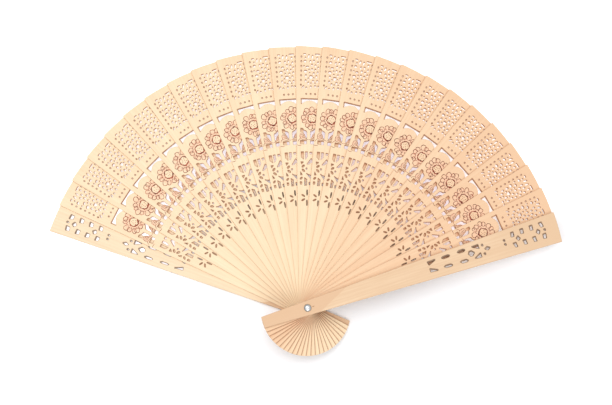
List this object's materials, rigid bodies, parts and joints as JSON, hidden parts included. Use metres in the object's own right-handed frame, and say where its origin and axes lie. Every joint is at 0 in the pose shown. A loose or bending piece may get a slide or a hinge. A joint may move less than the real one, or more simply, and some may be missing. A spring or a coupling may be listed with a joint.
{
  "type": "folding hand fan",
  "caption": "Hand fan made of thin pierced wooden sticks between thicker guards, all turning on a metal rivet, so that it spreads open in an arc and folds shut.",
  "frame": {"origin": "on the rivet's axis, at the back of the rear guard, where the rivet's flared end lies flush", "axes": "+Z along the rivet's axis towards its domed head, +Y along the middle of the open fan, +X to the front guard's side"},
  "size_m": [0.329, 0.201, 0.0233],
  "materials": {
    "stick_wood": "satin, pale",
    "guard_wood": "satin, pale",
    "rivet_steel": "polished"
  },
  "bodies": {
    "base": {"rear_guard": "guard_wood", "rivet": "rivet_steel"},
    "stick_01": {"stick_01": "stick_wood"},
    "stick_02": {"stick_02": "stick_wood"},
    "stick_03": {"stick_03": "stick_wood"},
    "stick_04": {"stick_04": "stick_wood"},
    "stick_05": {"stick_05": "stick_wood"},
    "stick_06": {"stick_06": "stick_wood"},
    "stick_07": {"stick_07": "stick_wood"},
    "stick_08": {"stick_08": "stick_wood"},
    "stick_09": {"stick_09": "stick_wood"},
    "stick_10": {"stick_10": "stick_wood"},
    "stick_11": {"stick_11": "stick_wood"},
    "stick_12": {"stick_12": "stick_wood"},
    "stick_13": {"stick_13": "stick_wood"},
    "stick_14": {"stick_14": "stick_wood"},
    "stick_15": {"stick_15": "stick_wood"},
    "stick_16": {"stick_16": "stick_wood"},
    "stick_17": {"stick_17": "stick_wood"},
    "stick_18": {"stick_18": "stick_wood"},
    "stick_19": {"stick_19": "stick_wood"},
    "stick_20": {"stick_20": "stick_wood"},
    "stick_21": {"stick_21": "stick_wood"},
    "stick_22": {"stick_22": "stick_wood"},
    "stick_23": {"stick_23": "stick_wood"},
    "front_guard": {"front_guard": "guard_wood"}
  },
  "joints": [
    {"name": "front_guard_turn", "type": "hinge", "parent": "base", "child": "front_guard", "pos_m": [0, 0, 0], "axis": [0, 0, 1], "range_deg": [0, 141.6]},
    {"name": "stick_01_turn", "type": "hinge", "parent": "base", "child": "stick_01", "pos_m": [0, 0, 0], "axis": [0, 0, 1], "range_deg": [0, 5.9]},
    {"name": "stick_02_turn", "type": "hinge", "parent": "base", "child": "stick_02", "pos_m": [0, 0, 0], "axis": [0, 0, 1], "range_deg": [0, 11.8]},
    {"name": "stick_03_turn", "type": "hinge", "parent": "base", "child": "stick_03", "pos_m": [0, 0, 0], "axis": [0, 0, 1], "range_deg": [0, 17.7]},
    {"name": "stick_04_turn", "type": "hinge", "parent": "base", "child": "stick_04", "pos_m": [0, 0, 0], "axis": [0, 0, 1], "range_deg": [0, 23.6]},
    {"name": "stick_05_turn", "type": "hinge", "parent": "base", "child": "stick_05", "pos_m": [0, 0, 0], "axis": [0, 0, 1], "range_deg": [0, 29.5]},
    {"name": "stick_06_turn", "type": "hinge", "parent": "base", "child": "stick_06", "pos_m": [0, 0, 0], "axis": [0, 0, 1], "range_deg": [0, 35.4]},
    {"name": "stick_07_turn", "type": "hinge", "parent": "base", "child": "stick_07", "pos_m": [0, 0, 0], "axis": [0, 0, 1], "range_deg": [0, 41.3]},
    {"name": "stick_08_turn", "type": "hinge", "parent": "base", "child": "stick_08", "pos_m": [0, 0, 0], "axis": [0, 0, 1], "range_deg": [0, 47.2]},
    {"name": "stick_09_turn", "type": "hinge", "parent": "base", "child": "stick_09", "pos_m": [0, 0, 0], "axis": [0, 0, 1], "range_deg": [0, 53.1]},
    {"name": "stick_10_turn", "type": "hinge", "parent": "base", "child": "stick_10", "pos_m": [0, 0, 0], "axis": [0, 0, 1], "range_deg": [0, 59]},
    {"name": "stick_11_turn", "type": "hinge", "parent": "base", "child": "stick_11", "pos_m": [0, 0, 0], "axis": [0, 0, 1], "range_deg": [0, 64.9]},
    {"name": "stick_12_turn", "type": "hinge", "parent": "base", "child": "stick_12", "pos_m": [0, 0, 0], "axis": [0, 0, 1], "range_deg": [0, 70.8]},
    {"name": "stick_13_turn", "type": "hinge", "parent": "base", "child": "stick_13", "pos_m": [0, 0, 0], "axis": [0, 0, 1], "range_deg": [0, 76.7]},
    {"name": "stick_14_turn", "type": "hinge", "parent": "base", "child": "stick_14", "pos_m": [0, 0, 0], "axis": [0, 0, 1], "range_deg": [0, 82.6]},
    {"name": "stick_15_turn", "type": "hinge", "parent": "base", "child": "stick_15", "pos_m": [0, 0, 0], "axis": [0, 0, 1], "range_deg": [0, 88.5]},
    {"name": "stick_16_turn", "type": "hinge", "parent": "base", "child": "stick_16", "pos_m": [0, 0, 0], "axis": [0, 0, 1], "range_deg": [0, 94.4]},
    {"name": "stick_17_turn", "type": "hinge", "parent": "base", "child": "stick_17", "pos_m": [0, 0, 0], "axis": [0, 0, 1], "range_deg": [0, 100.3]},
    {"name": "stick_18_turn", "type": "hinge", "parent": "base", "child": "stick_18", "pos_m": [0, 0, 0], "axis": [0, 0, 1], "range_deg": [0, 106.2]},
    {"name": "stick_19_turn", "type": "hinge", "parent": "base", "child": "stick_19", "pos_m": [0, 0, 0], "axis": [0, 0, 1], "range_deg": [0, 112.1]},
    {"name": "stick_20_turn", "type": "hinge", "parent": "base", "child": "stick_20", "pos_m": [0, 0, 0], "axis": [0, 0, 1], "range_deg": [0, 118]},
    {"name": "stick_21_turn", "type": "hinge", "parent": "base", "child": "stick_21", "pos_m": [0, 0, 0], "axis": [0, 0, 1], "range_deg": [0, 123.9]},
    {"name": "stick_22_turn", "type": "hinge", "parent": "base", "child": "stick_22", "pos_m": [0, 0, 0], "axis": [0, 0, 1], "range_deg": [0, 129.8]},
    {"name": "stick_23_turn", "type": "hinge", "parent": "base", "child": "stick_23", "pos_m": [0, 0, 0], "axis": [0, 0, 1], "range_deg": [0, 135.7]}
  ],
  "couplings": [
    {"joint": "stick_01_turn", "follows": "front_guard_turn", "ratio": 0.041667},
    {"joint": "stick_02_turn", "follows": "front_guard_turn", "ratio": 0.083333},
    {"joint": "stick_03_turn", "follows": "front_guard_turn", "ratio": 0.125},
    {"joint": "stick_04_turn", "follows": "front_guard_turn", "ratio": 0.16667},
    {"joint": "stick_05_turn", "follows": "front_guard_turn", "ratio": 0.20833},
    {"joint": "stick_06_turn", "follows": "front_guard_turn", "ratio": 0.25},
    {"joint": "stick_07_turn", "follows": "front_guard_turn", "ratio": 0.29167},
    {"joint": "stick_08_turn", "follows": "front_guard_turn", "ratio": 0.33333},
    {"joint": "stick_09_turn", "follows": "front_guard_turn", "ratio": 0.375},
    {"joint": "stick_10_turn", "follows": "front_guard_turn", "ratio": 0.41667},
    {"joint": "stick_11_turn", "follows": "front_guard_turn", "ratio": 0.45833},
    {"joint": "stick_12_turn", "follows": "front_guard_turn", "ratio": 0.5},
    {"joint": "stick_13_turn", "follows": "front_guard_turn", "ratio": 0.54167},
    {"joint": "stick_14_turn", "follows": "front_guard_turn", "ratio": 0.58333},
    {"joint": "stick_15_turn", "follows": "front_guard_turn", "ratio": 0.625},
    {"joint": "stick_16_turn", "follows": "front_guard_turn", "ratio": 0.66667},
    {"joint": "stick_17_turn", "follows": "front_guard_turn", "ratio": 0.70833},
    {"joint": "stick_18_turn", "follows": "front_guard_turn", "ratio": 0.75},
    {"joint": "stick_19_turn", "follows": "front_guard_turn", "ratio": 0.79167},
    {"joint": "stick_20_turn", "follows": "front_guard_turn", "ratio": 0.83333},
    {"joint": "stick_21_turn", "follows": "front_guard_turn", "ratio": 0.875},
    {"joint": "stick_22_turn", "follows": "front_guard_turn", "ratio": 0.91667},
    {"joint": "stick_23_turn", "follows": "front_guard_turn", "ratio": 0.95833}
  ]
}
